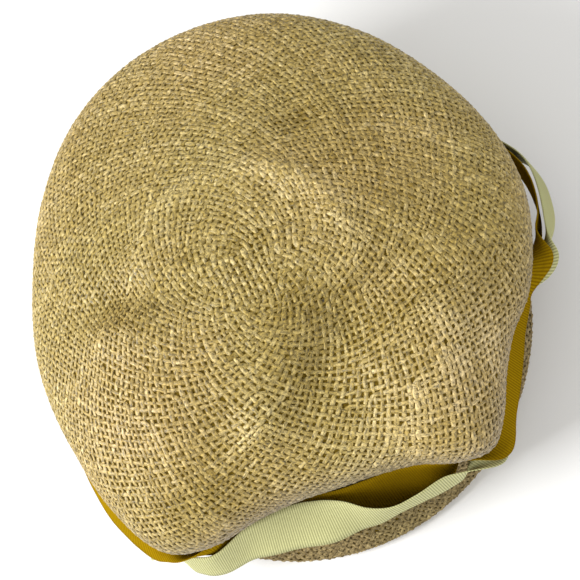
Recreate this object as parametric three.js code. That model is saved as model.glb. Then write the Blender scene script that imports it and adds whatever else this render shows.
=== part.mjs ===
// Bubble-crowned pillbox hat of woven straw, with two ribbons wound loosely together round its waist.
// Millimetres, +Z up. The origin is on the floor under the middle of the hat; -Y is the hat's front.
// The tables measure angles and radii from the middle of the rim, which the loops of ribbon push off the origin.
import * as THREE from "three";

// Driving dimensions
const rimMiddle = { x: -3, y: -2.5 };
const wall = 2; // straw, of the crown and the cuff
const gap = 0.3; // between pieces that touch
const crownTop = 96; // height of the crown's middle, before the tip is raised
const crownFoot = 36; // lower edge of the crown, tucked inside the cuff
const waistHeight = 43; // upper edge of the cuff, where the crown starts to swell
const foldFade = 1.2; // how soon above the swell the folds reach their full depth
const domeSquareness = 2.35; // 2 is an ellipse, more is a flatter top with fuller shoulders
const rimRadius = 102; // widest part of the cuff, just above the floor
const rimHeight = 5;
const rimFootRadius = 100.5;
const cuffHollow = 1.5; // how far the cuff's wall sweeps in before it rises to the waist
const ribbonWidth = 23.5;
const ribbonThickness = 0.9;

// Facets
const stepsAround = 64;
const footRings = 2;
const swellRings = 5;
const domeRings = 14;
const domeCrowding = 0.85; // less than 1 draws the dome's rings together at the top
const cuffRings = 4;
const ribbonSteps = 180;

const straw = { color: 0xbaa873, roughness: 0.62, metalness: 0 };
const cuffStraw = { color: 0x9c8a63, roughness: 0.66, metalness: 0 };
const mustard = { color: 0xa87a08, roughness: 0.7, metalness: 0 };
const paleYellow = { color: 0xdcdc9c, roughness: 0.7, metalness: 0 };

// The hat's outline, seen from above: the radius of its waist, and the radius and height of the crown's swell.
const outline = [
  { angle: -180, waist: 85, swell: 97, height: 67 },
  { angle: -165, waist: 86, swell: 103, height: 64 },
  { angle: -151, waist: 87, swell: 107.5, height: 62 },
  { angle: -142, waist: 85, swell: 101, height: 61 },
  { angle: -132, waist: 81, swell: 89, height: 60 },
  { angle: -121, waist: 78, swell: 83, height: 59 },
  { angle: -109, waist: 77.5, swell: 82.5, height: 59 },
  { angle: -99, waist: 79, swell: 85, height: 59 },
  { angle: -90, waist: 82, swell: 91, height: 59 },
  { angle: -84, waist: 84, swell: 100.5, height: 60 },
  { angle: -77, waist: 86, swell: 108, height: 60 },
  { angle: -70, waist: 86, swell: 105, height: 60 },
  { angle: -62, waist: 86, swell: 100, height: 61 },
  { angle: -53, waist: 86, swell: 98.6, height: 62 },
  { angle: -45, waist: 86.5, swell: 102.4, height: 63 },
  { angle: -37, waist: 87, swell: 104.8, height: 64 },
  { angle: -20, waist: 88, swell: 108.5, height: 66 },
  { angle: 10, waist: 88, swell: 108.5, height: 70 },
  { angle: 30, waist: 88, swell: 111.5, height: 72 },
  { angle: 50, waist: 88, swell: 114, height: 74 },
  { angle: 75, waist: 88, swell: 112, height: 76 },
  { angle: 95, waist: 87, swell: 107, height: 76 },
  { angle: 115, waist: 86, swell: 99, height: 75 },
  { angle: 135, waist: 85, swell: 93.5, height: 73 },
  { angle: 155, waist: 85, swell: 94, height: 70 },
];

// The crown's flat tip: its middle and radius, how high it stands, and how far beyond it the slope runs out.
const tip = { x: 0, y: -3, radius: 41, rise: 4, slope: 46 };

// Folds, dents and lobes of the crown's top: the middle, the direction of the length, and how far it rises.
const folds = [
  { name: "front valley", x: 12, y: -43, heading: 12, length: 27, width: 12, rise: -8 },
  { name: "tip's cut edge", x: 8, y: -27, heading: -35, length: 16, width: 8, rise: -1.5 },
  { name: "right valley", x: 46, y: -44, heading: -20, length: 18, width: 12, rise: -3 },
  { name: "front hollow", x: 2, y: -62, heading: 0, length: 16, width: 13, rise: -3 },
  { name: "left valley", x: -44, y: 26, heading: -25, length: 15, width: 7, rise: -2 },
  { name: "left brow", x: -51, y: 14, heading: -25, length: 18, width: 8, rise: 3 },
  { name: "left crease", x: -44, y: -38, heading: -95, length: 20, width: 10, rise: -1 },
  { name: "middle ridge", x: -33, y: -50, heading: 10, length: 13, width: 9, rise: 3.5 },
  { name: "left lobe", x: -68, y: -20, heading: -70, length: 30, width: 20, rise: 3 },
  { name: "right lobe", x: 44, y: -70, heading: 45, length: 22, width: 16, rise: 6.5 },
  { name: "back dimple", x: 54, y: 31, heading: 0, length: 9, width: 9, rise: -1.5 },
];

// The ribbons' routes: the middle of the ribbon's width, and the lean of its width from straight down, outwards.
const mustardRoute = [
  { angle: -179, radius: 103.5, height: 39.5, lean: 28 },
  { angle: -171, radius: 106.5, height: 39.5, lean: 28 },
  { angle: -165, radius: 107.5, height: 39.5, lean: 30 },
  { angle: -160, radius: 104, height: 41, lean: 55 },
  { angle: -156, radius: 101.5, height: 42, lean: 84 },
  { angle: -152.5, radius: 100.8, height: 42.5, lean: 118 },
  { angle: -148, radius: 104.4, height: 41, lean: 165 },
  { angle: -144, radius: 101.6, height: 40, lean: 187 },
  { angle: -140, radius: 94.4, height: 37, lean: 203 },
  { angle: -133, radius: 89.6, height: 35, lean: 208 },
  { angle: -126, radius: 86.4, height: 34, lean: 213 },
  { angle: -118, radius: 86.2, height: 34.4, lean: 214 },
  { angle: -111, radius: 86.6, height: 35.8, lean: 211 },
  { angle: -104, radius: 87.6, height: 36, lean: 212 },
  { angle: -95, radius: 90, height: 36.5, lean: 210 },
  { angle: -88, radius: 94.5, height: 38.5, lean: 196 },
  { angle: -84, radius: 97, height: 39.5, lean: 178 },
  { angle: -80, radius: 98.5, height: 41.4, lean: 148 },
  { angle: -76, radius: 99.5, height: 42.5, lean: 92 },
  { angle: -72, radius: 100.5, height: 41, lean: 50 },
  { angle: -66, radius: 98.9, height: 39, lean: 28 },
  { angle: -50, radius: 95.8, height: 39, lean: 20 },
  { angle: -42, radius: 96.5, height: 39.5, lean: 24 },
  { angle: -39, radius: 97.2, height: 39.8, lean: 28 },
  { angle: -36.5, radius: 98.5, height: 41.3, lean: 56 },
  { angle: -34, radius: 101, height: 41.8, lean: 105 },
  { angle: -31.5, radius: 104, height: 40.3, lean: 150 },
  { angle: -28.5, radius: 108, height: 39, lean: 180 },
  { angle: -25, radius: 111, height: 38.5, lean: 182 },
  { angle: -20.5, radius: 112.7, height: 38.5, lean: 180 },
  { angle: -16, radius: 113.3, height: 38.5, lean: 180 },
  { angle: -12, radius: 112.6, height: 38.2, lean: 182 },
  { angle: -8, radius: 110.9, height: 38, lean: 185 },
  { angle: -3, radius: 108, height: 37.8, lean: 188 },
  { angle: 5, radius: 100, height: 37.3, lean: 190 },
  { angle: 15, radius: 95.5, height: 37, lean: 190 },
  { angle: 30, radius: 93.5, height: 37, lean: 190 },
  { angle: 60, radius: 95, height: 37, lean: 175 },
  { angle: 75, radius: 100.5, height: 40, lean: 140 },
  { angle: 90, radius: 102, height: 41.2, lean: 95 },
  { angle: 105, radius: 101, height: 40.5, lean: 55 },
  { angle: 120, radius: 97.5, height: 38, lean: 25 },
  { angle: 145, radius: 97, height: 38, lean: 22 },
  { angle: 165, radius: 99, height: 39, lean: 26 },
];
const paleRoute = [
  { angle: -179, radius: 99, height: 37.5, lean: 28 },
  { angle: -171, radius: 101.5, height: 37.5, lean: 28 },
  { angle: -165, radius: 102.5, height: 36.5, lean: 30 },
  { angle: -160, radius: 101.5, height: 37, lean: 55 },
  { angle: -156, radius: 105, height: 30, lean: 145 },
  { angle: -152.5, radius: 109.4, height: 31, lean: 187 },
  { angle: -148, radius: 109.2, height: 31, lean: 195 },
  { angle: -144, radius: 106.4, height: 32, lean: 196 },
  { angle: -138, radius: 97.1, height: 35.5, lean: 206 },
  { angle: -133, radius: 93.2, height: 36.4, lean: 214 },
  { angle: -126, radius: 89.8, height: 37.2, lean: 220 },
  { angle: -118, radius: 89.8, height: 38.2, lean: 220 },
  { angle: -111, radius: 90.8, height: 39, lean: 204 },
  { angle: -106, radius: 94, height: 38, lean: 190 },
  { angle: -101, radius: 95.9, height: 37.7, lean: 180 },
  { angle: -95, radius: 97.3, height: 37.6, lean: 180 },
  { angle: -88, radius: 99.5, height: 37.8, lean: 183 },
  { angle: -84, radius: 101.8, height: 37, lean: 175 },
  { angle: -80, radius: 102.5, height: 37, lean: 148 },
  { angle: -76, radius: 99.5, height: 38.5, lean: 95 },
  { angle: -72, radius: 97.3, height: 37.2, lean: 50 },
  { angle: -66, radius: 95.2, height: 36.2, lean: 26 },
  { angle: -50, radius: 92.6, height: 36.5, lean: 18 },
  { angle: -42, radius: 93, height: 36.5, lean: 22 },
  { angle: -39, radius: 93.6, height: 36.8, lean: 28 },
  { angle: -36.5, radius: 99, height: 37, lean: 61 },
  { angle: -34, radius: 103, height: 37.5, lean: 105 },
  { angle: -31.5, radius: 107, height: 38, lean: 150 },
  { angle: -28.5, radius: 112, height: 38.4, lean: 180 },
  { angle: -25, radius: 114.8, height: 38.7, lean: 190 },
  { angle: -20.5, radius: 116.6, height: 39, lean: 192 },
  { angle: -16, radius: 117.5, height: 39, lean: 192 },
  { angle: -12, radius: 116.6, height: 38.5, lean: 191 },
  { angle: -8, radius: 113.6, height: 37, lean: 188 },
  { angle: -3, radius: 110, height: 37, lean: 188 },
  { angle: 5, radius: 102.5, height: 37, lean: 190 },
  { angle: 15, radius: 98.5, height: 37, lean: 190 },
  { angle: 30, radius: 97, height: 37, lean: 190 },
  { angle: 60, radius: 98, height: 37, lean: 175 },
  { angle: 75, radius: 102.5, height: 37, lean: 140 },
  { angle: 90, radius: 102, height: 37.3, lean: 95 },
  { angle: 105, radius: 98.5, height: 36.8, lean: 55 },
  { angle: 120, radius: 93.8, height: 36, lean: 25 },
  { angle: 145, radius: 93, height: 36.5, lean: 22 },
  { angle: 165, radius: 95, height: 37, lean: 26 },
];

const degrees = Math.PI / 180;
const smooth = (t) => t * t * (3 - 2 * t);
const clamp = (t) => Math.min(1, Math.max(0, t));

// A column of a table that goes once round the hat, read at any angle along a smooth closed curve.
function around(rows, column, angle) {
  const count = rows.length;
  const row = (i) => rows[((i % count) + count) % count];
  const turn = (i) => 360 * Math.floor(i / count);
  const first = rows[0].angle;
  const a = first + ((((angle - first) % 360) + 360) % 360);
  let i = count - 1;
  while (row(i).angle > a) i -= 1;
  const at = (k) => row(k).angle + turn(k);
  const slope = (k) => (row(k + 1)[column] - row(k - 1)[column]) / (at(k + 1) - at(k - 1));
  const span = at(i + 1) - at(i);
  const t = (a - at(i)) / span;
  const stay = smooth(t);
  const start = t * (1 - t) * (1 - t) * span * slope(i);
  const end = t * t * (1 - t) * span * slope(i + 1);
  return row(i)[column] * (1 - stay) + row(i + 1)[column] * stay + start - end;
}

function polar(angle, radius, height) {
  return new THREE.Vector3(radius * Math.cos(angle * degrees), radius * Math.sin(angle * degrees), height);
}

function foldRise(x, y) {
  const beyond = Math.hypot(x - tip.x, y - tip.y) - tip.radius;
  let rise = tip.rise * (1 - smooth(clamp(beyond / tip.slope)));
  for (const fold of folds) {
    const c = Math.cos(fold.heading * degrees);
    const s = Math.sin(fold.heading * degrees);
    const along = ((x - fold.x) * c + (y - fold.y) * s) / fold.length;
    const across = ((y - fold.y) * c - (x - fold.x) * s) / fold.width;
    rise += fold.rise * Math.exp(-along * along - across * across);
  }
  return rise;
}

// A point of the crown's outside. place runs from 0 at the foot, past 1 at the waist and 2 at the swell, to 3.
function crownPoint(angle, place) {
  const waist = around(outline, "waist", angle) - wall - gap;
  const swell = around(outline, "swell", angle);
  const height = around(outline, "height", angle);
  if (place < 1) return polar(angle, waist, crownFoot + (waistHeight - crownFoot) * place);
  if (place < 2) {
    const t = place - 1;
    return polar(angle, waist + (swell - waist) * smooth(t), waistHeight + (height - waistHeight) * t);
  }
  const climb = (place - 2) * 90 * degrees;
  const power = 2 / domeSquareness;
  const point = polar(angle, swell * Math.cos(climb) ** power, height);
  const lift = Math.sin(climb) ** power;
  point.z += (crownTop - height) * lift + foldRise(point.x, point.y) * smooth(clamp(lift * foldFade));
  return point;
}

function crownNormal(angle, place) {
  const turn = 1;
  const climb = 0.02;
  const east = crownPoint(angle + turn, place).sub(crownPoint(angle - turn, place));
  const up = crownPoint(angle, place + climb).sub(crownPoint(angle, Math.max(place - climb, 0)));
  return east.cross(up).normalize();
}

// A closed mesh from rings of points that run along a closed or pole-ended section, each ring once round the hat.
// The rings go up one face of the wall and down the other, and both faces are cut along the same diagonals.
function woundSolid(rings, material, poles = []) {
  const steps = rings[0].length;
  const points = rings.flat().concat(poles);
  const faces = [];
  const at = (ring, step) => ring * steps + (step % steps);
  const last = poles.length ? rings.length - 1 : rings.length;
  for (let ring = 0; ring < last; ring += 1) {
    const next = (ring + 1) % rings.length;
    const mirrored = ring >= rings.length / 2;
    for (let step = 0; step < steps; step += 1) {
      const [a, b, c, d] = [at(ring, step), at(ring, step + 1), at(next, step + 1), at(next, step)];
      if (mirrored) faces.push(a, b, d, b, c, d);
      else faces.push(a, b, c, a, c, d);
    }
  }
  if (poles.length) {
    const start = rings.length * steps;
    for (let step = 0; step < steps; step += 1) {
      faces.push(start, at(0, step + 1), at(0, step));
      faces.push(start + 1, at(rings.length - 1, step), at(rings.length - 1, step + 1));
    }
  }
  const geometry = new THREE.BufferGeometry();
  geometry.setAttribute("position", new THREE.Float32BufferAttribute(points.flatMap((p) => p.toArray()), 3));
  geometry.setIndex(faces);
  geometry.translate(rimMiddle.x, rimMiddle.y, 0);
  geometry.computeVertexNormals();
  return new THREE.Mesh(geometry, new THREE.MeshStandardMaterial(material));
}

function ringOf(pointAt, steps = stepsAround) {
  return Array.from({ length: steps }, (_, step) => pointAt((360 * step) / steps - 180));
}

// The crown: a hollow shell from its foot over the swell to the top, and back down its inside.
function makeCrown() {
  const places = [];
  for (let i = 0; i <= footRings; i += 1) places.push(i / footRings);
  for (let i = 1; i <= swellRings; i += 1) places.push(1 + i / swellRings);
  for (let i = 1; i < domeRings; i += 1) places.push(2 + (i / domeRings) ** domeCrowding);
  const inside = (angle, place) => crownPoint(angle, place).addScaledVector(crownNormal(angle, place), -wall);
  const foot = (angle) => polar(angle, around(outline, "waist", angle) - 2 * wall - gap, crownFoot);
  const outer = places.map((place) => ringOf((angle) => crownPoint(angle, place)));
  const inner = places.slice(1).map((place) => ringOf((angle) => inside(angle, place)));
  const rings = [...inner.reverse(), ringOf(foot), ...outer];
  const top = crownTop + foldRise(0, 0);
  const poles = [new THREE.Vector3(0, 0, top - wall), new THREE.Vector3(0, 0, top)];
  return woundSolid(rings, straw, poles);
}

// The cuff: a band that stands on its rim and sweeps in to the waist.
function makeCuff() {
  const radiusAt = (angle, height) => {
    const waist = around(outline, "waist", angle);
    const fall = clamp((waistHeight - height) / (waistHeight - rimHeight));
    return waist + (rimRadius - waist) * fall ** cuffHollow;
  };
  const heights = [];
  for (let i = 0; i <= cuffRings; i += 1) heights.push(rimHeight + ((waistHeight - rimHeight) * i) / cuffRings);
  const outer = heights.map((height) => ringOf((angle) => polar(angle, radiusAt(angle, height), height)));
  const inner = heights.map((height) => ringOf((angle) => polar(angle, radiusAt(angle, height) - wall, height)));
  const foot = [rimFootRadius - wall, rimFootRadius].map((radius) => ringOf((angle) => polar(angle, radius, 0)));
  return woundSolid([...inner.reverse(), ...foot, ...outer], cuffStraw);
}

// A ribbon: a flat band that follows its route once round the hat.
function makeRibbon(route, material) {
  const corner = (side, face) => (angle) => {
    const lean = around(route, "lean", angle) * degrees;
    const across = (side * ribbonWidth) / 2;
    const through = (face * ribbonThickness) / 2;
    const radius = around(route, "radius", angle) + across * Math.sin(lean) + through * Math.cos(lean);
    const height = around(route, "height", angle) - across * Math.cos(lean) + through * Math.sin(lean);
    return polar(angle, radius, height);
  };
  const corners = [corner(-1, -1), corner(1, -1), corner(1, 1), corner(-1, 1)];
  return woundSolid(corners.map((point) => ringOf(point, ribbonSteps)), material);
}

const hat = new THREE.Group();
const pieces = {
  crown: makeCrown(),
  cuff: makeCuff(),
  ribbon_mustard: makeRibbon(mustardRoute, mustard),
  ribbon_pale: makeRibbon(paleRoute, paleYellow),
};
for (const [name, piece] of Object.entries(pieces)) {
  piece.name = name;
  hat.add(piece);
}

export default hat;
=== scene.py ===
import math

import bpy
import numpy as np
from mathutils import Matrix, Vector


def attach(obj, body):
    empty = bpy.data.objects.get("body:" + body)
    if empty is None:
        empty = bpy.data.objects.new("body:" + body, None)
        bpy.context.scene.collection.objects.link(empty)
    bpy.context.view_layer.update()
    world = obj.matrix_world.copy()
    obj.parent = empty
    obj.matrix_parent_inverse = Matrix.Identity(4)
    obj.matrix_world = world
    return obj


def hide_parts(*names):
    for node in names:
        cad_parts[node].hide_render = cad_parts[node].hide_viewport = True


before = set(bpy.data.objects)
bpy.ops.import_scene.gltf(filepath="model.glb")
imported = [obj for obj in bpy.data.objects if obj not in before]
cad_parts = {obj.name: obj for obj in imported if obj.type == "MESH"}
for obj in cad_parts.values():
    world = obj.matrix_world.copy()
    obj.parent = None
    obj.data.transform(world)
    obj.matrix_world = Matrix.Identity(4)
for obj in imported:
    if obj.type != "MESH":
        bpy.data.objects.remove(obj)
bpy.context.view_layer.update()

mm = 0.001
scene = bpy.context.scene


# the camera looks down on the hat from the front, rolled to the left

viewSettings = {
    "target": (5, -6.5, 55),
    "distance": 480,
    "elevation": 70,
    "roll": 42,
    "lens": 74.8,
    "clipStart": 0.01,
}


def viewAxes(settings):
    tilt, roll = math.radians(settings["elevation"]), math.radians(settings["roll"])
    back = Vector((0, -math.cos(tilt), math.sin(tilt)))
    right, up = Vector((1, 0, 0)), Vector((0, math.sin(tilt), math.cos(tilt)))
    return right * math.cos(roll) - up * math.sin(roll), right * math.sin(roll) + up * math.cos(roll), back


def makeCamera(settings):
    across, upward, back = viewAxes(settings)
    place = Matrix((across, upward, back)).transposed().to_4x4()
    place.translation = (Vector(settings["target"]) + back * settings["distance"]) * mm
    bpy.ops.object.camera_add()
    camera = bpy.context.object
    camera.matrix_world = place
    camera.data.lens = settings["lens"]
    camera.data.clip_start = settings["clipStart"]
    scene.camera = camera


makeCamera(viewSettings)
print("camera placed")


# the hat's shape: outline rows are angle, waist radius, swell radius, swell height,
# fold rows are x, y, heading, length, width, rise

hat = {
    "rimMiddle": (-3, -2.5),
    "wall": 2,
    "gap": 0.3,
    "top": 96,
    "foot": 36,
    "waistHeight": 43,
    "squareness": 2.35,
    "foldFade": 1.2,
    "foldDepth": 1.35,
    "pole": (-1, -4.8),  # where the weave starts
    "poleFade": 75,
    "outline": [
        (-180, 85, 97, 67), (-165, 86, 103, 64), (-151, 87, 107.5, 62), (-142, 85, 101, 61),
        (-132, 81, 89, 60), (-121, 78, 83, 59), (-109, 77.5, 82.5, 59), (-99, 79, 85, 59), (-90, 82, 91, 59),
        (-84, 84, 100.5, 60), (-77, 86, 108, 60), (-70, 86, 105, 60), (-62, 86, 100, 61), (-53, 86, 98.6, 62),
        (-45, 86.5, 102.4, 63), (-37, 87, 104.8, 64), (-20, 88, 108.5, 66), (10, 88, 108.5, 70),
        (30, 88, 111.5, 72), (50, 88, 114, 74), (75, 88, 112, 76), (95, 87, 107, 76), (115, 86, 99, 75),
        (135, 85, 93.5, 73), (155, 85, 94, 70),
    ],
    "folds": [
        (12, -43, 12, 27, 12, -8), (8, -27, -35, 16, 8, -1.5), (46, -44, -20, 18, 12, -3),
        (2, -62, 0, 16, 13, -3), (-44, 26, -25, 15, 7, -2), (-51, 14, -25, 18, 8, 3),
        (-44, -38, -95, 20, 10, -1), (-33, -50, 10, 13, 9, 3.5), (-68, -20, -70, 30, 20, 3),
        (44, -70, 45, 22, 16, 6.5), (54, 31, 0, 9, 9, -1.5),
    ],
    # the flat tip: its rim stands a little proud along an arc of its edge, and the straw along that arc is painted
    # lighter, as painted light on the ridge
    "tip": {"middle": (0, -3), "radius": 41, "rise": 4, "slope": 46,
            "rimRise": 2.0, "rimWidth": 6, "rimPaintedLight": 0.15, "rimTurn": 55, "rimReach": 90},
}


def smooth(t):
    t = np.clip(t, 0, 1)
    return t * t * (3 - 2 * t)


def around(rows, column, angle):
    # a column of a table that goes once round the hat, read along a smooth closed curve
    rows = np.array(rows, float)
    knots = np.concatenate([rows[-2:, 0] - 360, rows[:, 0], rows[:3, 0] + 360])
    values = np.concatenate([rows[-2:, column], rows[:, column], rows[:3, column]])
    slopes = np.zeros(len(knots))
    slopes[1:-1] = (values[2:] - values[:-2]) / (knots[2:] - knots[:-2])
    a = rows[0, 0] + np.mod(np.asarray(angle, float) - rows[0, 0], 360)
    i = np.searchsorted(knots, a, side="right") - 1
    span = knots[i + 1] - knots[i]
    t = (a - knots[i]) / span
    stay = t * t * (3 - 2 * t)
    start = t * (1 - t) ** 2 * span * slopes[i]
    end = t * t * (1 - t) * span * slopes[i + 1]
    return values[i] * (1 - stay) + values[i + 1] * stay + start - end


def polar(angle, radius, height):
    a = np.radians(angle)
    height = height + np.zeros_like(a)
    return np.stack([radius * np.cos(a), radius * np.sin(a), height], -1)


def tipRim(x, y):
    # how far a place lies beyond the tip's edge, and how near it is to the edge's proud arc
    tip = hat["tip"]
    dx, dy = x - tip["middle"][0], y - tip["middle"][1]
    beyond = np.hypot(dx, dy) - tip["radius"]
    turn = np.mod(np.degrees(np.arctan2(dy, dx)) - tip["rimTurn"] + 180, 360) - 180
    return beyond, np.exp(-(beyond / tip["rimWidth"]) ** 2 - (turn / tip["rimReach"]) ** 4)


def foldRise(x, y):
    tip = hat["tip"]
    beyond, rim = tipRim(x, y)
    rise = tip["rise"] * (1 - smooth(beyond / tip["slope"])) + tip["rimRise"] * rim
    for fx, fy, heading, length, width, height in hat["folds"]:
        c, s = math.cos(math.radians(heading)), math.sin(math.radians(heading))
        along = ((x - fx) * c + (y - fy) * s) / length
        across = ((y - fy) * c - (x - fx) * s) / width
        rise = rise + hat["foldDepth"] * height * np.exp(-along * along - across * across)
    return rise


def domePoint(x, y):
    # the top of the crown over a place in the plan
    angle = np.degrees(np.arctan2(y, x))
    share = np.hypot(x, y) / around(hat["outline"], 2, angle)
    power = 2 / hat["squareness"]
    climb = np.arccos(np.clip(share, 0, 1) ** (1 / power))
    height = around(hat["outline"], 3, angle)
    lift = np.sin(climb) ** power
    z = height + (hat["top"] - height) * lift + foldRise(x, y) * smooth(lift * hat["foldFade"])
    return np.stack([x, y, z], -1)


def crownMeridians(angles, settings):
    # points from the middle of the top, over the swell, down to the foot and on below it, past the longest way down
    waist = around(hat["outline"], 1, angles) - hat["wall"] - hat["gap"]
    swell = around(hat["outline"], 2, angles)
    height = around(hat["outline"], 3, angles)
    power = 2 / hat["squareness"]
    rows = []
    for t in np.linspace(0, 1, settings["topSamples"]) ** settings["topEase"]:
        radius = swell * math.cos(math.pi / 2 * (1 - t)) ** power
        p = polar(angles, radius, 0)
        stay = 1 - smooth(radius / hat["poleFade"])
        p[:, 0] += hat["pole"][0] * stay
        p[:, 1] += hat["pole"][1] * stay
        rows.append(domePoint(p[:, 0], p[:, 1]))
    for t in np.linspace(0, 1, settings["wallSamples"])[1:]:
        rows.append(polar(angles, swell + (waist - swell) * smooth(t),
                          height + (hat["waistHeight"] - height) * t))
    for z in np.linspace(hat["waistHeight"], hat["foot"] - settings["tail"], settings["tailSamples"])[1:]:
        rows.append(polar(angles, waist, z))
    return np.array(rows)


def cuffMeridians(angles, settings):
    # from the waist down to the rim, and up again as the turned-in hem
    waist = around(hat["outline"], 1, angles)
    rim, foot, gap = settings["rimRadius"], settings["footRadius"], settings["hemGap"]
    rimHeight, few = settings["rimHeight"], settings["edgeSamples"]

    def radiusAt(z):
        fall = (hat["waistHeight"] - z) / (hat["waistHeight"] - rimHeight)
        return waist + (rim - waist) * fall ** settings["hollow"]

    rows = [polar(angles, radiusAt(z), z) for z in np.linspace(hat["waistHeight"], rimHeight, settings["samples"])]
    turn = gap / 2
    for t in np.linspace(0, 1, few)[1:]:
        rows.append(polar(angles, rim + (foot - rim) * t, rimHeight * (1 - t) + turn * t))
    for t in np.linspace(0, math.pi, few + 1)[1:]:
        rows.append(polar(angles, foot - turn * (1 - math.cos(t)), turn * (1 - math.sin(t))))
    for z in np.linspace(rimHeight, settings["hemHeight"], few):
        rows.append(polar(angles, radiusAt(z) - gap, z))
    return np.array(rows)


class Surface:
    # meridians sampled evenly by their own length, read at (length, angle)
    def __init__(self, meridians, step=0.5, turn=2.0):
        self.step, self.turn = step, turn
        self.angles = np.arange(0, 360, turn)
        points = meridians(self.angles)
        runs = np.linalg.norm(np.diff(points, axis=0), axis=2)
        lengths = np.concatenate([np.zeros((1, len(self.angles))), np.cumsum(runs, 0)])
        self.rows = int(lengths[-1].min() / step)
        even = np.arange(self.rows) * step
        self.length = even[-1]
        self.grid = np.zeros((self.rows, len(self.angles), 3))
        for j in range(len(self.angles)):
            for axis in range(3):
                self.grid[:, j, axis] = np.interp(even, lengths[:, j], points[:, j, axis])

    def at(self, s, angle):
        i = np.clip(np.asarray(s) / self.step, 0, self.rows - 1.001)
        j = np.mod(np.asarray(angle), 360) / self.turn
        i0, j0 = i.astype(int), j.astype(int)
        a, b = (i - i0)[:, None], (j - j0)[:, None]
        j0, j1 = j0 % len(self.angles), (j0 + 1) % len(self.angles)
        g = self.grid
        return (g[i0, j0] * (1 - a) * (1 - b) + g[i0 + 1, j0] * a * (1 - b)
                + g[i0, j1] * (1 - a) * b + g[i0 + 1, j1] * a * b)

    def radiusAt(self, s, angle, least=2):
        return np.maximum(np.hypot(*self.at(s, angle)[:, :2].T), least)

    def normalAt(self, s, angle, outward=1, reach=1.0):
        turn = np.degrees(reach / self.radiusAt(s, angle))
        down = self.at(np.asarray(s) + reach, angle) - self.at(np.asarray(s) - reach, angle)
        east = self.at(s, angle + turn) - self.at(s, angle - turn)
        n = np.cross(down, east) * outward
        return n / np.maximum(np.linalg.norm(n, axis=1), 1e-9)[:, None]


# the weave: two families of straws at 45 degrees to the way out, crossing over and under;
# each straw goes out, turns at its own V and comes back the other way, so the weave grows by letting in Vs


def spaceAt(s, settings):
    # from one crossing to the next along a ring
    near, far = settings["alongRing"]
    return near + (far - near) * smooth(s / settings["openRun"])


def stepAt(s, angle, settings):
    # from one ring to the next: further over the front, where the weave is drawn square
    near, far = settings["betweenRings"]
    edge = settings["frontEdge"]
    front = smooth((math.cos(math.radians(angle - settings["frontHeading"])) + edge) / (1 + edge))
    step = near + (far - near) * smooth(s / settings["openRun"])
    return step * (1 + settings["frontStretch"] * front * smooth((s - settings["frontStart"]) / settings["frontRun"]))


def chooseGaps(spans, space, settings, draw):
    # where new straws are let into a ring: in its widest gaps, never close together
    count = len(spans)
    wanted = int(round(spans.sum() / space)) - count
    letIn = set()
    for gap in np.argsort(-(spans * (1 + settings["gapShake"] * draw.random(count)))):
        if len(letIn) >= min(wanted, settings["mostLetIn"]):
            break
        if all(min(abs(gap - g), count - abs(gap - g)) > settings["gapsApart"] for g in letIn):
            letIn.add(int(gap))
    return letIn


def nextRing(s, angle, spans, letIn, settings):
    # every gap has one crossing beyond it, or two where a new straw is let in
    nextAngle = np.append(angle[1:], angle[0] + 360)
    nextS = np.append(s[1:], s[0])
    newS, newA, children = [], [], []
    for gap in range(len(s)):
        middle, span = (s[gap] + nextS[gap]) / 2, nextAngle[gap] - angle[gap]
        step = stepAt(middle, angle[gap] + span / 2, settings)
        if gap in letIn:
            children.append((len(newS), len(newS) + 1))
            newS += [s[gap] * 0.75 + nextS[gap] * 0.25 + step, s[gap] * 0.25 + nextS[gap] * 0.75 + step]
            newA += [angle[gap] + span / 4, angle[gap] + span * 3 / 4]
        else:
            children.append((len(newS),))
            newS.append(middle + step * min(spans[gap] / spaceAt(middle, settings), settings["mostStep"]))
            newA.append(angle[gap] + span / 2)
    return np.array(newS), np.array(newA), children


def squareRing(ring, settings):
    # a ring of the plain square weave at the very middle, from the crossing just past the start axis
    half = settings["alongRing"][0] / math.sqrt(2)
    xs, ys = [], []
    for quarter in range(4):
        c, n = math.cos(quarter * math.pi / 2), math.sin(quarter * math.pi / 2)
        for j in range(ring + 1):
            x, y = (ring - j + 0.5) * half, (j + 0.5) * half
            xs.append(x * c - y * n)
            ys.append(x * n + y * c)
    angle = np.unwrap(np.arctan2(ys, xs), period=2 * math.pi)
    return np.hypot(xs, ys), np.degrees(angle) + settings["startAngle"]


def layWeave(surface, settings, draw):
    # rings of crossings, each ring half a space further out than the last
    ringS, ringA, childOf = [], [], []
    count = settings["startCount"]
    angle = settings["startAngle"] + 360 / count * (np.arange(count) + 0.5)
    s = np.full(count, float(settings["startLength"]))
    for ring in range(settings["maxRings"]):
        ringS.append(s)
        ringA.append(angle)
        if s.min() > surface.length - settings["shortOf"]:
            break
        here = surface.at(s, angle)
        spans = np.linalg.norm(np.roll(here, -1, 0) - here, axis=1)
        if ring < settings["squareRings"]:
            side = len(s) // 4
            letIn = {side * quarter + side - 1 for quarter in range(4)}  # the gaps over the four axes
        else:
            letIn = chooseGaps(spans, spaceAt(float(s.mean()), settings), settings, draw)
        s, angle, children = nextRing(s, angle, spans, letIn, settings)
        if ring < settings["squareRings"]:
            children = [tuple((c + 1) % len(s) for c in child) for child in children]
            s, angle = squareRing(ring + 1, settings)
        else:
            for _ in range(2):
                between = (np.append(angle[1:], angle[0] + 360) + np.insert(angle[:-1], 0, angle[-1] - 360)) / 2
                angle = angle + settings["evenTurn"] * (between - angle)
                s = s + settings["evenOut"] * ((np.roll(s, 1) + np.roll(s, -1)) / 2 - s)
        childOf.append(children)
    return ringS, ringA, childOf


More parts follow.
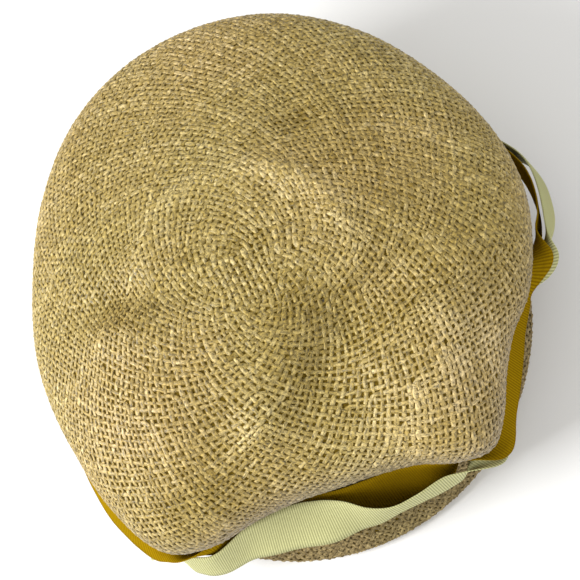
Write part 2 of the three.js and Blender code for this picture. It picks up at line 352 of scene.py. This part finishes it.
def traceStraws(ringS, ringA, childOf):
    # every straw as a list of (crossing, over or under), from one end through its V to the other end
    first = np.concatenate([[0], np.cumsum([len(s) for s in ringS])])
    total = first[-1]
    ringOf = np.repeat(np.arange(len(ringS)), [len(s) for s in ringS])
    leftward, rightward = np.full(total, -1), np.full(total, -1)
    vees = [(m, (m + 1) % len(ringS[0])) for m in range(len(ringS[0]))]
    for ring, children in enumerate(childOf):
        if ring + 1 >= len(ringS):
            break
        count = len(children)
        for gap, child in enumerate(children):
            leftward[first[ring] + gap] = first[ring + 1] + child[0]
            rightward[first[ring] + (gap + 1) % count] = first[ring + 1] + child[-1]
            if len(child) == 2:
                vees.append((first[ring + 1] + child[0], first[ring + 1] + child[1]))
    straws = []
    for one, other in vees:
        back, out = [one], [other]
        while rightward[back[-1]] >= 0:
            back.append(rightward[back[-1]])
        while leftward[out[-1]] >= 0:
            out.append(leftward[out[-1]])
        path = np.array(back[::-1] + out)
        leftPart = np.array([False] * len(back) + [True] * len(out))
        even = ringOf[path] % 2 == 0
        straws.append((path, np.where(leftPart == even, 1.0, -1.0)))
    return straws


def crossings(surface, ringS, ringA, settings, draw):
    s, angle = np.concatenate(ringS), np.concatenate(ringA)
    radius = surface.radiusAt(s, angle)
    shake = settings["shake"]
    s = s + shake * draw.standard_normal(len(s))
    angle = angle + np.degrees(shake * draw.standard_normal(len(s)) / radius)
    return surface.at(s, angle), surface.normalAt(s, angle, settings["outward"]), s


# how wide the straws are for their spacing: close at the middle and over the back, open over the front lobes
closeness = {
    "middle": 1.22,
    "away": 0.06,
    "awayStart": 28,
    "awayRun": 28,
    "front": 0.12,
    "frontReach": 12,
    "frontRun": 50,
    "frontWay": (-0.5, -0.87),
}


def crownCloseness(line):
    x, y = line[:, 0], line[:, 1]
    way = closeness["frontWay"]
    away = smooth((np.hypot(x, y) - closeness["awayStart"]) / closeness["awayRun"])
    front = smooth((closeness["frontReach"] + way[0] * x + way[1] * y) / closeness["frontRun"])
    return closeness["middle"] - closeness["away"] * away - closeness["front"] * away * front


# painted light and shade on the straw: darker in the creases, the dimple and over the side away from the light
# (painted shade), lighter on the lobes and ridges and along the front edge (painted light); the last two rows are
# small dark spots near the middle. Rows are x, y, heading, length, width, change of tone
paintedTone = [
    (11, -28, -42, 16, 8, -0.3), (-9, -41, 54, 14, 6, -0.1), (-43, 15, -39, 15, 7, -0.3),
    (62, 5, 90, 48, 18, -0.2), (10, -80, 0, 32, 8, 0.22), (44, -70, -60, 16, 9, 0.25),
    (-33, -45, 30, 12, 7, 0.25), (-66, -48, -50, 24, 13, -0.18), (54, 31, 0, 6, 6, -0.3),
    (-13, 16, 0, 3, 3, -0.5), (4, 7, 0, 3, 3, -0.4),
]
# painted shade: the straw is painted darker and greyer towards the crown's lower edge, where it turns under
lowerEdgeShade = {"top": 80, "fall": 26, "tone": -0.28}  # the straw greys towards the crown's lower edge


def paintedToneOf(line):
    x, y, z = line.T
    # how far down towards the crown's lower edge the straw takes the painted shade
    edgeShade = smooth((lowerEdgeShade["top"] - z) / lowerEdgeShade["fall"])
    # to the painted shade at the lower edge is added painted light along the tip's proud arc
    change = lowerEdgeShade["tone"] * edgeShade + hat["tip"]["rimPaintedLight"] * tipRim(x, y)[1]
    # the listed patches of painted shade and painted light
    for wx, wy, heading, length, width, tone in paintedTone:
        c, s = math.cos(math.radians(heading)), math.sin(math.radians(heading))
        along = ((x - wx) * c + (y - wy) * s) / length
        across = ((y - wy) * c - (x - wx) * s) / width
        change = change + tone * np.exp(-along * along - across * across)
    return change, edgeShade


def leadOf(line, tangent, settings):
    # near the middle one family of straws lies a little over the other
    heading = math.radians(settings["leadHeading"])
    share = (tangent[:, 0] * math.cos(heading) + tangent[:, 1] * math.sin(heading)) ** 2 - 0.5
    return share * (1 - smooth(np.hypot(line[:, 0], line[:, 1]) / settings["leadReach"]))


def unit(v):
    return v / np.linalg.norm(v, axis=1)[:, None]


def strawRuns(straws, inReach):
    # the stretches of every straw that lie within reach
    found = []
    for path, over in straws:
        keep = inReach[path]
        ends = np.flatnonzero(np.diff(np.concatenate([[0], keep.astype(int), [0]])))
        found += [(path[a:b], over[a:b]) for a, b in ends.reshape(-1, 2) if b - a >= 3]
    return found


def sweepStraw(p, n, over, settings, draw):
    # a flat five-sided section at every crossing of one straw, and half way between them
    ghost = np.concatenate([[2 * p[0] - p[1]], p, [2 * p[-1] - p[-2]]])
    count = 2 * len(p) - 1
    line = np.zeros((count, 3))
    line[0::2] = p
    line[1::2] = (9 * (ghost[1:-2] + ghost[2:-1]) - ghost[:-3] - ghost[3:]) / 16
    upright = np.zeros((count, 3))
    upright[0::2] = n
    upright[1::2] = n[:-1] + n[1:]
    upright = unit(upright)
    lift = np.zeros(count)
    lift[0::2] = over
    tangent = unit(np.gradient(line, axis=0))
    across = unit(np.cross(tangent, upright))
    gap = np.linalg.norm(np.diff(p, axis=0), axis=1)
    local = np.interp(np.arange(count), np.arange(len(gap)) * 2 + 1, gap)
    strawWidth = settings["width"] * (1 + settings["widthSpread"] * draw.uniform(-1, 1))
    wave = 1 + settings["widthWave"] * draw.standard_normal(count)
    width = local * strawWidth * wave * settings["closeness"](line)
    width[1::2] *= settings["pinch"]
    lead = leadOf(line, tangent, settings)
    change, edgeShade = settings["paintedTone"](line)
    thick = settings["thickness"] * (1 + settings["thicknessSpread"] * draw.uniform(-1, 1))
    line = line + upright * (lift * thick * settings["lift"] + lead * settings["leadLift"]
                             - settings["depth"])[:, None]
    sides = np.array(settings["section"])
    ring = (line[:, None] + across[:, None] * (sides[None, :, 0] * width[:, None])[..., None]
            + upright[:, None] * (sides[:, 1] * thick)[None, :, None])
    # the tone carries painted light and shade: lead lightens one family of straws near the middle and darkens the
    # other, and change adds the painted patches
    tone = (0.5 + settings["toneShare"] * draw.uniform(-1, 1) + lead * settings["leadPaintedLight"]
            + change + settings["toneWave"] * draw.standard_normal(count))
    along = np.concatenate([[0], np.cumsum(np.linalg.norm(np.diff(line, axis=0), axis=1))])
    return ring, tone, edgeShade, along, draw.uniform(0, settings["fibreRoom"])


def bakeCells(cells, segments, rim):
    # each stretch between two sections has its own square, so that nothing overlaps when the finish is baked
    cellsAcross = math.ceil(math.sqrt(segments))
    size, edge = 1 / cellsAcross, rim / cellsAcross
    column, row = cells[:, 0] % cellsAcross, cells[:, 0] // cellsAcross
    u0, u1 = column * size + edge, (column + 1) * size - edge
    v0 = row * size + edge + cells[:, 1] * (size - 2 * edge)
    v1 = row * size + edge + cells[:, 2] * (size - 2 * edge)
    return cornersOf(u0, v0, u0, v1, u1, v1, u1, v0), size


def cornersOf(*values):
    # the (u, v) of each face's four corners
    return np.stack([np.stack(values[i:i + 2], 1) for i in range(0, 8, 2)], 1)


def fillMesh(name, co, corners, sizes):
    co[:, 0] += hat["rimMiddle"][0]
    co[:, 1] += hat["rimMiddle"][1]
    mesh = bpy.data.meshes.new(name)
    mesh.vertices.add(len(co))
    mesh.vertices.foreach_set("co", (co * mm).ravel())
    mesh.loops.add(len(corners))
    mesh.loops.foreach_set("vertex_index", corners)
    mesh.polygons.add(len(sizes))
    mesh.polygons.foreach_set("loop_start", np.concatenate([[0], np.cumsum(sizes)[:-1]]))
    mesh.update(calc_edges=True)
    mesh.validate()
    return mesh


def addPiece(name, mesh, material):
    mesh.shade_smooth()
    mesh.materials.append(material)
    piece = bpy.data.objects.new(name, mesh)
    scene.collection.objects.link(piece)
    return piece


def makeStraws(name, straws, points, normals, inReach, settings, draw, material):
    sides = np.array(settings["section"])
    corners = len(sides)
    stretch = settings["fibreStretch"]
    rings, tones, edgeShades, uvs, quads, cells, ends = [], [], [], [], [], [], []
    start = segments = 0
    for path, over in strawRuns(straws, inReach):
        ring, tone, edgeShade, along, offset = sweepStraw(points[path], normals[path], over, settings, draw)
        count = len(ring)
        rings.append(ring.reshape(-1, 3))
        tones.append(np.repeat(tone, corners))
        edgeShades.append(np.repeat(edgeShade, corners))
        k = np.arange(count - 1)
        for side in settings["sideOrder"]:
            other = (side + 1) % corners
            a, b = start + k * corners, start + (k + 1) * corners
            quads.append(np.stack([a + side, a + other, b + other, b + side], 1))
            v0, v1 = settings["cellEdges"][side]
            fibre0, fibre1 = sides[side][0] * stretch, sides[other][0] * stretch
            u = np.stack([along[k], along[k], along[k + 1], along[k + 1]], 1) + offset * 3
            v = np.tile([fibre0, fibre1, fibre1, fibre0], (count - 1, 1)) + offset
            uvs.append(np.stack([u, v], 2))
            cells.append(np.stack([segments + k, np.full(count - 1, v0), np.full(count - 1, v1)], 1))
        last = start + (count - 1) * corners
        ends.append([start + i for i in reversed(range(corners))])
        ends.append([last + i for i in range(corners)])
        segments += count - 1
        start += count * corners
    # the faces of one side of every straw come together
    order = np.argsort(np.concatenate([np.full(len(f), i % corners) for i, f in enumerate(quads)]), kind="stable")
    faces = np.concatenate(quads)[order]
    bake, size = bakeCells(np.concatenate(cells)[order], segments, settings["cellRim"])
    mesh = fillMesh(name, np.concatenate(rings), np.concatenate([faces.ravel(), np.array(ends).ravel()]),
                    np.concatenate([np.full(len(faces), 4), np.full(len(ends), corners)]))
    onEnds = np.full((len(ends) * corners, 2), 0.5 * size)
    for uvName, values in (("fibres", np.concatenate(uvs)[order]), ("OFBake", bake)):
        layer = mesh.uv_layers.new(name=uvName)
        layer.data.foreach_set("uv", np.concatenate([values.reshape(-1, 2), onEnds]).ravel())
    for attributeName, values in (("tone", tones), ("edgeShade", edgeShades)):
        attribute = mesh.attributes.new(attributeName, "FLOAT", "POINT")
        attribute.data.foreach_set("value", np.concatenate(values))
    return addPiece(name, mesh, material)


weave = {
    "alongRing": (3.25, 3.85),
    "betweenRings": (1.62, 1.3),
    "openRun": 45,
    "frontHeading": -100,
    "frontStretch": 0.3,
    "frontEdge": 0.2,
    "frontStart": 20,
    "frontRun": 30,
    "startCount": 4,
    "startAngle": -15,
    "startLength": 1.62,
    "squareRings": 4,
    "maxRings": 170,
    "shortOf": 3,  # the last ring stays this far from the surface's end
    "mostLetIn": 6,
    "gapsApart": 3,
    "gapShake": 0.12,
    "mostStep": 1.25,
    "evenTurn": 0.25,
    "evenOut": 0.12,
    "shake": 0.14,
    "outward": 1,
    "width": 0.68,
    "widthSpread": 0.12,
    "widthWave": 0.1,
    "pinch": 0.9,
    "thickness": 0.75,
    "thicknessSpread": 0.12,
    "lift": 0.28,
    "depth": 0.85,
    "closeness": crownCloseness,
    "paintedTone": paintedToneOf,
    "leadHeading": 75,
    "leadReach": 55,
    "leadLift": 0.2,
    # near the middle one family of straws is painted lighter and the other darker: painted light and shade by the way
    # the light falls along them
    "leadPaintedLight": 0.4,
    "toneShare": 0.16,
    "toneWave": 0.14,
    "fibreStretch": 1.9,
    "fibreRoom": 400,  # each straw reads its own stretch of the fibre pattern
    "section": [(-0.5, 0), (-0.25, 0.5), (0.25, 0.5), (0.5, 0), (0, -0.5)],
    "sideOrder": (3, 4, 0, 1, 2),
    "cellEdges": [(0, 0.25), (0.25, 0.75), (0.75, 1), (1, 0.75), (0.25, 0)],
    "cellRim": 0.06,
}


# the finishes

noiseSpan = (0.3, 0.7)  # where nearly all of a noise pattern's values lie
bumpDepth = 0.0002


class Finish:
    # a material and the node steps that the hat's finishes share
    def __init__(self, name, look):
        self.material = bpy.data.materials.new(name)
        self.material.use_nodes = True
        self.tree = self.material.node_tree
        self.shader = self.tree.nodes["Principled BSDF"]
        self.shader.inputs["Roughness"].default_value = look["roughness"]
        self.shader.inputs["Specular IOR Level"].default_value = look["specular"]

    def node(self, kind, **values):
        made = self.tree.nodes.new(kind)
        for key, value in values.items():
            if key in made.inputs:
                made.inputs[key].default_value = value
            else:
                setattr(made, key, value)
        return made

    def link(self, output, node, socket):
        self.tree.links.new(output, node.inputs[socket])

    def tone(self, value, stops):
        # a colour from a number, by places and colours along a ramp
        ramp = self.node("ShaderNodeValToRGB")
        elements = ramp.color_ramp.elements
        while len(elements) < len(stops):
            elements.new(0.5)
        for element, (place, colour) in zip(elements, stops):
            element.position = place
            element.color = (*colour, 1)
        self.link(value, ramp, "Fac")
        return ramp.outputs["Color"]

    def noise(self, vector, pattern):
        made = self.node("ShaderNodeTexNoise", **pattern)
        self.link(vector, made, "Vector")
        return made.outputs["Fac"]

    def along(self, uvName, scale):
        # the piece's own map, stretched
        stretch = self.node("ShaderNodeMapping", Scale=scale)
        self.link(self.node("ShaderNodeUVMap", uv_map=uvName).outputs["UV"], stretch, "Vector")
        return stretch.outputs["Vector"]

    def spread(self, value, span, share=(0, 1)):
        made = self.node("ShaderNodeMapRange")
        for key, number in zip(("From Min", "From Max", "To Min", "To Max"), (*span, *share)):
            made.inputs[key].default_value = number
        self.link(value, made, "Value")
        return made.outputs["Result"]

    def multiply(self, one, other):
        made = self.node("ShaderNodeMix", data_type="RGBA", blend_type="MULTIPLY")
        made.inputs[0].default_value = 1.0
        self.link(one, made, 6)
        self.link(other, made, 7)
        return made.outputs[2]

    def close(self, colour, height, strength):
        # the colour and the bump go into the shader
        self.link(colour, self.shader, "Base Color")
        bump = self.node("ShaderNodeBump", Strength=strength, Distance=bumpDepth)
        self.link(height, bump, "Height")
        self.link(bump.outputs["Normal"], self.shader, "Normal")
        return self.material


def strawMaterial(name, look):
    # straw by its tone, greyed and darkened towards the crown's lower edge as painted shade, blotched over the hat
    # and streaked along its fibres
    finish = Finish(name, look)
    straw = finish.tone(finish.node("ShaderNodeAttribute", attribute_name="tone").outputs["Fac"], look["tones"])
    # towards the crown's lower edge the straw is mixed into a dark grey: painted shade
    amount = finish.node("ShaderNodeMath", operation="MULTIPLY")
    amount.inputs[1].default_value = look["edgeShadeShare"]
    finish.link(finish.node("ShaderNodeAttribute", attribute_name="edgeShade").outputs["Fac"], amount, 0)
    edgeShaded = finish.node("ShaderNodeMix", data_type="RGBA", blend_type="MIX")
    edgeShaded.inputs[7].default_value = (*look["edgeShade"], 1)
    finish.link(amount.outputs[0], edgeShaded, 0)
    finish.link(straw, edgeShaded, 6)
    blotch = finish.noise(finish.node("ShaderNodeTexCoord").outputs["Object"], look["blotch"])
    tinted = finish.multiply(edgeShaded.outputs[2], finish.tone(blotch, look["tint"]))
    fibre = finish.noise(finish.along("fibres", look["fibreScale"]), look["fibre"])
    streaked = finish.multiply(tinted, finish.spread(fibre, noiseSpan, look["streak"]))
    return finish.close(streaked, fibre, look["bump"])


crownLook = {
    "roughness": 0.45,
    "specular": 0.45,
    "edgeShade": (0.27, 0.225, 0.15),
    "edgeShadeShare": 0.85,
    "tones": [(0.0, (0.23, 0.155, 0.022)), (0.5, (0.40, 0.298, 0.096)), (1.0, (0.61, 0.49, 0.24))],
    "fibreScale": (0.7, 1.1, 1.0),
    "fibre": {"Scale": 1.0, "Detail": 4.0, "Roughness": 0.7},
    "streak": (0.0, 1.8),
    "blotch": {"Scale": 14.0, "Detail": 2.0},
    "tint": [(0.35, (0.92, 0.92, 0.80)), (0.65, (1.04, 1.0, 1.0))],
    "bump": 0.8,
}
crownStraw = strawMaterial("crownStraw", crownLook)


# the skin's dark colour is painted shade, standing for the shade seen through the holes of the weave
shadeSkin = {
    "below": 0.1,  # under the middle of the weave
    "thickness": 0.12,
    "turnStep": 3,
    "downStep": 2,
    "poleStart": 2.0,
    "edgeStart": 0.6,
    "look": {"roughness": 0.9, "specular": 0.05, "grain": {"Scale": 900.0, "Detail": 3.0}, "bump": 0.4,
             "tones": [(0.3, (0.07, 0.042, 0.003)), (0.7, (0.145, 0.092, 0.008))]},
}


def shadeSkinMaterial(name, look):
    finish = Finish(name, look)
    grain = finish.noise(finish.node("ShaderNodeTexCoord").outputs["Object"], look["grain"])
    return finish.close(finish.tone(grain, look["tones"]), grain, look["bump"])


shadeCloth = shadeSkinMaterial("paintedShadeSkin", shadeSkin["look"])


def makeShadeSkin(name, surface, settings, lowest, pole, node):
    # a thin dark skin in the middle of the weave, which closes the holes between the straws; its dark colour is
    # painted shade, the shade seen through the holes
    angles = np.arange(0, 360, shadeSkin["turnStep"], float)
    reach = np.argmax(surface.grid[:, :, 2] < lowest, axis=0) * surface.step
    reach = np.interp(angles, surface.angles, reach, period=360)
    downs = np.linspace(0, 1, int(reach.max() / shadeSkin["downStep"]))
    start = shadeSkin["poleStart"] if pole else shadeSkin["edgeStart"]
    s = (start + downs[:, None] * (reach - start)).ravel()
    angle = np.tile(angles, len(downs))
    normal = surface.normalAt(s, angle, settings["outward"])
    top = surface.at(s, angle) - normal * (settings["depth"] + shadeSkin["below"])
    under = top - normal * shadeSkin["thickness"]
    count, shift = len(angles), len(top)
    row, column = np.meshgrid(np.arange(len(downs) - 1), np.arange(count), indexing="ij")
    a = (row * count + column).ravel()
    b = (row * count + (column + 1) % count).ravel()
    k = np.arange(count)
    after, last = (k + 1) % count, (len(downs) - 1) * count
    quads = [np.stack([a, a + count, b + count, b], 1), np.stack([a, b, b + count, a + count], 1) + shift,
             np.stack([k, k + shift, after + shift, after], 1) + last]
    if not pole:
        quads.append(np.stack([k, after, after + shift, k + shift], 1))
    corners = np.concatenate(quads).ravel()
    sizes = np.full(len(corners) // 4, 4)
    if pole:  # the two skins are closed over the pole
        corners = np.concatenate([corners, k, k[::-1] + shift])
        sizes = np.append(sizes, [count, count])
    piece = addPiece(name, fillMesh(name, np.concatenate([top, under]), corners, sizes), shadeCloth)
    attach(piece, "root")
    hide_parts(node)


crown = {
    "seed": 7,
    "pieces": 3,
    "topSamples": 240,
    "topEase": 1.25,  # above 1, the samples lie closer at the middle of the top
    "wallSamples": 80,
    "tail": 60,
    "tailSamples": 36,
    "endSlack": 2,
}


def makeCrown():
    draw = np.random.default_rng(crown["seed"])
    surface = Surface(lambda angles: crownMeridians(angles, crown))
    ringS, ringA, childOf = layWeave(surface, weave, draw)
    points, normals, s = crossings(surface, ringS, ringA, weave, draw)
    straws = traceStraws(ringS, ringA, childOf)
    inReach = (points[:, 2] > hat["foot"]) & (s < surface.length - crown["endSlack"])
    share = math.ceil(len(straws) / crown["pieces"])
    order = draw.permutation(len(straws))
    faces = 0
    for i in range(crown["pieces"]):
        part = [straws[k] for k in order[i * share:(i + 1) * share]]
        piece = makeStraws(f"crownStraw{i + 1}", part, points, normals, inReach, weave, draw, crownStraw)
        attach(piece, "root")
        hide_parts("crown")
        faces += len(piece.data.polygons)
    makeShadeSkin("crownShadeSkin", surface, weave, hat["foot"], True, "crown")
    print("crown woven:", len(ringS), "rings,", int(inReach.sum()), "crossings,", len(straws), "straws,",
          faces, "faces")


makeCrown()


cuff = {
    "seed": 11,
    "pieces": 2,
    "rimRadius": 102,
    "rimHeight": 5,
    "footRadius": 100.5,
    "hollow": 1.5,
    "hemGap": 2.6,
    "hemHeight": 14,
    "samples": 60,
    "edgeSamples": 6,
    "endSlack": 3,
}


def evenCloseness(line):
    return 1.0


def noPaintedTone(line):
    return 0.0, np.zeros(len(line))


cuffWeave = dict(
    weave, startCount=150, startAngle=0, startLength=0.6, squareRings=0, maxRings=60, mostLetIn=4,
    alongRing=(3.4, 3.5), betweenRings=(1.7, 1.7), width=0.84, shake=0.1, closeness=evenCloseness, paintedTone=noPaintedTone,
    leadLift=0, leadPaintedLight=0, frontStretch=0, toneWave=0.12)
# the cuff's straw is the crown's straw in darker, greyer tones: painted shade under the crown's overhang
cuffShadedLook = dict(
    crownLook, specular=0.1,
    tones=[(0.0, (0.16, 0.115, 0.05)), (0.5, (0.25, 0.19, 0.09)), (1.0, (0.36, 0.285, 0.15))])
cuffShadedStraw = strawMaterial("cuffShadedStraw", cuffShadedLook)


def makeCuff():
    draw = np.random.default_rng(cuff["seed"])
    surface = Surface(lambda angles: cuffMeridians(angles, cuff))
    ringS, ringA, childOf = layWeave(surface, cuffWeave, draw)
    points, normals, s = crossings(surface, ringS, ringA, cuffWeave, draw)
    straws = traceStraws(ringS, ringA, childOf)
    inReach = s < surface.length - cuff["endSlack"]
    faces = 0
    for i in range(cuff["pieces"]):
        part = straws[i::cuff["pieces"]]
        piece = makeStraws(f"cuffShadedStraw{i + 1}", part, points, normals, inReach, cuffWeave, draw, cuffShadedStraw)
        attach(piece, "root")
        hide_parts("cuff")
        faces += len(piece.data.polygons)
    hemTurn = cuff["hemGap"] / 3  # the skin ends within the turn of the hem
    makeShadeSkin("cuffShadeSkin", surface, cuffWeave, hemTurn, False, "cuff")
    print("cuff woven:", len(ringS), "rings,", len(straws), "straws,", faces, "faces")


makeCuff()


# the ribbons: route rows are angle, radius, height and lean of the width from straight down, outwards

ribbons = {
    "width": 23.5,
    "thickness": 0.5,
    "ribPitch": 1.0,
    "ribHeight": 0.16,
    "samplesPerRib": 4,
    "across": 8,
    "plainEdge": 0.04,
    "fineSteps": 7200,
    "mustard": [
        (-179, 103.5, 39.5, 28), (-171, 106.5, 39.5, 28), (-165, 107.5, 39.5, 30), (-160, 104, 41, 55),
        (-156, 101.5, 42, 84), (-152.5, 100.8, 42.5, 118), (-148, 104.4, 41, 165),
        (-144, 101.6, 40, 187), (-140, 94.4, 37, 203),
        (-133, 89.6, 35, 208), (-126, 86.4, 34, 213), (-118, 86.2, 34.4, 214), (-111, 86.6, 35.8, 211),
        (-104, 87.6, 36, 212), (-95, 90, 36.5, 210), (-88, 94.5, 38.5, 196), (-84, 97, 39.5, 178),
        (-80, 98.5, 41.4, 148), (-76, 99.5, 42.5, 92), (-72, 100.5, 41, 50), (-66, 98.9, 39, 28),
        (-50, 95.8, 39, 20), (-42, 96.5, 39.5, 24), (-39, 97.2, 39.8, 28), (-36.5, 98.5, 41.3, 56),
        (-34, 101, 41.8, 105), (-31.5, 104, 40.3, 150), (-28.5, 108, 39, 180), (-25, 111, 38.5, 182),
        (-20.5, 112.7, 38.5, 180), (-16, 113.3, 38.5, 180), (-12, 112.6, 38.2, 182), (-8, 110.9, 38, 185),
        (-3, 108, 37.8, 188), (5, 100, 37.3, 190), (15, 95.5, 37, 190), (30, 93.5, 37, 190), (60, 95, 37, 175),
        (75, 100.5, 40, 140), (90, 102, 41.2, 95), (105, 101, 40.5, 55), (120, 97.5, 38, 25),
        (145, 97, 38, 22), (165, 99, 39, 26),
    ],
    "pale": [
        (-179, 99, 37.5, 28), (-171, 101.5, 37.5, 28), (-165, 102.5, 36.5, 30), (-160, 101.5, 37, 55),
        (-156, 105, 30, 145), (-152.5, 109.4, 31, 187), (-148, 109.2, 31, 195), (-144, 106.4, 32, 196),
        (-138, 97.1, 35.5, 206), (-133, 93.2, 36.4, 214), (-126, 89.8, 37.2, 220), (-118, 89.8, 38.2, 220),
        (-111, 90.8, 39, 204), (-106, 94, 38, 190), (-101, 95.9, 37.7, 180), (-95, 97.3, 37.6, 180),
        (-88, 99.5, 37.8, 183), (-84, 101.8, 37, 175), (-80, 102.5, 37, 148), (-76, 99.5, 38.5, 95),
        (-72, 97.3, 37.2, 50), (-66, 95.2, 36.2, 26), (-50, 92.6, 36.5, 18), (-42, 93, 36.5, 22),
        (-39, 93.6, 36.8, 28), (-36.5, 99, 37, 61), (-34, 103, 37.5, 105), (-31.5, 107, 38, 150),
        (-28.5, 112, 38.4, 180), (-25, 114.8, 38.7, 190), (-20.5, 116.6, 39, 192), (-16, 117.5, 39, 192),
        (-12, 116.6, 38.5, 191), (-8, 113.6, 37, 188), (-3, 110, 37, 188), (5, 102.5, 37, 190),
        (15, 98.5, 37, 190), (30, 97, 37, 190), (60, 98, 37, 175), (75, 102.5, 37, 140), (90, 102, 37.3, 95),
        (105, 98.5, 36.8, 55), (120, 93.8, 36, 25), (145, 93, 36.5, 22), (165, 95, 37, 26),
    ],
}


def makeRibbon(name, route, material, node):
    # the middle line first, then even steps along it
    fine = np.linspace(0, 360, ribbons["fineSteps"] + 1)
    line = polar(fine, around(route, 1, fine), around(route, 2, fine))
    lengths = np.concatenate([[0], np.cumsum(np.linalg.norm(np.diff(line, axis=0), axis=1))])
    length = lengths[-1]
    ribs = int(round(length / ribbons["ribPitch"]))
    perRib = ribbons["samplesPerRib"]
    steps = ribs * perRib
    angle = np.interp(np.arange(steps) / steps * length, lengths, fine)
    lean = np.radians(around(route, 3, angle))
    middle = polar(angle, around(route, 1, angle), around(route, 2, angle))
    outward = polar(angle, 1.0, 0)
    width = outward * np.sin(lean)[:, None] + np.array([[0, 0, -1]]) * np.cos(lean)[:, None]
    through = outward * np.cos(lean)[:, None] + np.array([[0, 0, 1]]) * np.sin(lean)[:, None]
    phase = np.arange(steps) % perRib / perRib
    rib = ribbons["ribHeight"] * (0.5 + 0.5 * np.cos(2 * math.pi * phase))
    # the section goes out across one face and back across the other, and the ribs end at the edges
    share = np.linspace(-0.5, 0.5, ribbons["across"] + 1)
    plain = ribbons["plainEdge"]
    ribbed = 1 - np.clip((np.abs(share) - (0.5 - plain)) / plain, 0, 1)
    rings = []
    for face, columns in ((1, range(len(share))), (-1, reversed(range(len(share))))):
        for i in columns:
            rise = face * (ribbons["thickness"] / 2 + rib * ribbed[i])
            rings.append(middle + width * (share[i] * ribbons["width"]) + through * rise[:, None])
    count = len(rings)
    k, c = [grid.ravel() for grid in np.meshgrid(np.arange(steps), np.arange(count), indexing="ij")]
    after = (c + 1) % count
    here, beyond = k * count, (k + 1) % steps * count
    quads = np.stack([here + c, beyond + c, beyond + after, here + after], 1)
    mesh = fillMesh(name, np.array(rings).transpose(1, 0, 2).reshape(-1, 3), quads.ravel(), np.full(len(quads), 4))
    u0, u1 = k / steps * length, (k + 1) / steps * length
    acrossAt = np.concatenate([share, share[::-1]]) * ribbons["width"]
    v0, v1 = acrossAt[c], acrossAt[after]
    layer = mesh.uv_layers.new(name="cloth")
    layer.data.foreach_set("uv", cornersOf(u0, v0, u1, v0, u1, v1, u0, v1).ravel())
    piece = addPiece(name, mesh, material)
    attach(piece, "root")
    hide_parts(node)
    print(name, "laid:", round(length), "mm long,", ribs, "ribs,", len(quads), "faces")


def ribbonMaterial(name, look):
    # painted light on the ribs and painted shade between them, with the yarn showing along each rib
    finish = Finish(name, look)
    parts = finish.node("ShaderNodeSeparateXYZ")
    finish.link(finish.node("ShaderNodeUVMap", uv_map="cloth").outputs["UV"], parts, "Vector")
    turn = finish.node("ShaderNodeMath", operation="MULTIPLY")
    turn.inputs[1].default_value = 2 * math.pi / ribbons["ribPitch"]
    finish.link(parts.outputs["X"], turn, 0)
    wave = finish.node("ShaderNodeMath", operation="COSINE")
    finish.link(turn.outputs[0], wave, 0)
    # between the ribs the colour falls to the darker groove colour: painted shade
    ribbed = finish.tone(finish.spread(wave.outputs[0], look["level"]), [(0, look["grooveShade"]), (1, look["rib"])])
    yarn = finish.noise(finish.along("cloth", look["yarnScale"]), look["yarn"])
    shaded = finish.multiply(ribbed, finish.spread(yarn, noiseSpan, look["shade"]))
    return finish.close(shaded, yarn, look["bump"])


grosgrain = {
    "level": (-1, 0.6),
    "yarnScale": (0.35, 6.0, 1.0),
    "yarn": {"Scale": 1.0, "Detail": 3.0},
    "shade": (0.85, 1.12),
    "bump": 0.4,
}
mustardCloth = ribbonMaterial("mustardGrosgrain", dict(
    grosgrain, roughness=0.7, specular=0.0, grooveShade=(0.17, 0.095, 0.002), rib=(0.29, 0.18, 0.003)))
paleCloth = ribbonMaterial("paleGrosgrain", dict(
    grosgrain, roughness=0.6, specular=0.12, grooveShade=(0.26, 0.26, 0.11), rib=(0.56, 0.55, 0.27)))
makeRibbon("ribbonMustard", ribbons["mustard"], mustardCloth, "ribbon_mustard")
makeRibbon("ribbonPale", ribbons["pale"], paleCloth, "ribbon_pale")


# floor and light

studio = {
    "floorSize": 6,
    "floorColour": (0.86, 0.86, 0.86),
    "floorRoughness": 0.9,
    "sky": (0.94, 0.93, 0.91),
    "skyStrength": 0.86,
    "keyTurn": (-0.8, -0.22, 0.5),  # across, upward and back of the camera
    "lightDistance": 1000,
    "keySize": 0.35,
    "keyPower": 10.5,
    "fillTurn": (0.8, -0.45, 0.45),
    "fillSize": 1.0,
    "fillPower": 3.2,
}


def makeStudio(settings):
    bpy.ops.mesh.primitive_plane_add(size=settings["floorSize"])
    floor = bpy.context.object
    floor.name = "floor"
    cover = bpy.data.materials.new("floorPaint")
    cover.use_nodes = True
    paint = cover.node_tree.nodes["Principled BSDF"]
    paint.inputs["Base Color"].default_value = (*settings["floorColour"], 1)
    paint.inputs["Roughness"].default_value = settings["floorRoughness"]
    floor.data.materials.append(cover)
    world = bpy.data.worlds.new("studio")
    world.use_nodes = True
    sky = world.node_tree.nodes["Background"]
    sky.inputs["Color"].default_value = (*settings["sky"], 1)
    sky.inputs["Strength"].default_value = settings["skyStrength"]
    scene.world = world
    across, upward, back = viewAxes(viewSettings)
    for kind in ("key", "fill"):
        turn = settings[kind + "Turn"]
        toLight = (across * turn[0] + upward * turn[1] + back * turn[2]).normalized()
        bpy.ops.object.light_add(type="AREA", location=toLight * settings["lightDistance"] * mm)
        light = bpy.context.object
        light.data.size = settings[kind + "Size"]
        light.data.energy = settings[kind + "Power"]
        light.rotation_euler = toLight.to_track_quat("Z", "Y").to_euler()
    scene.view_settings.view_transform = "Standard"


makeStudio(studio)
print("studio lit")
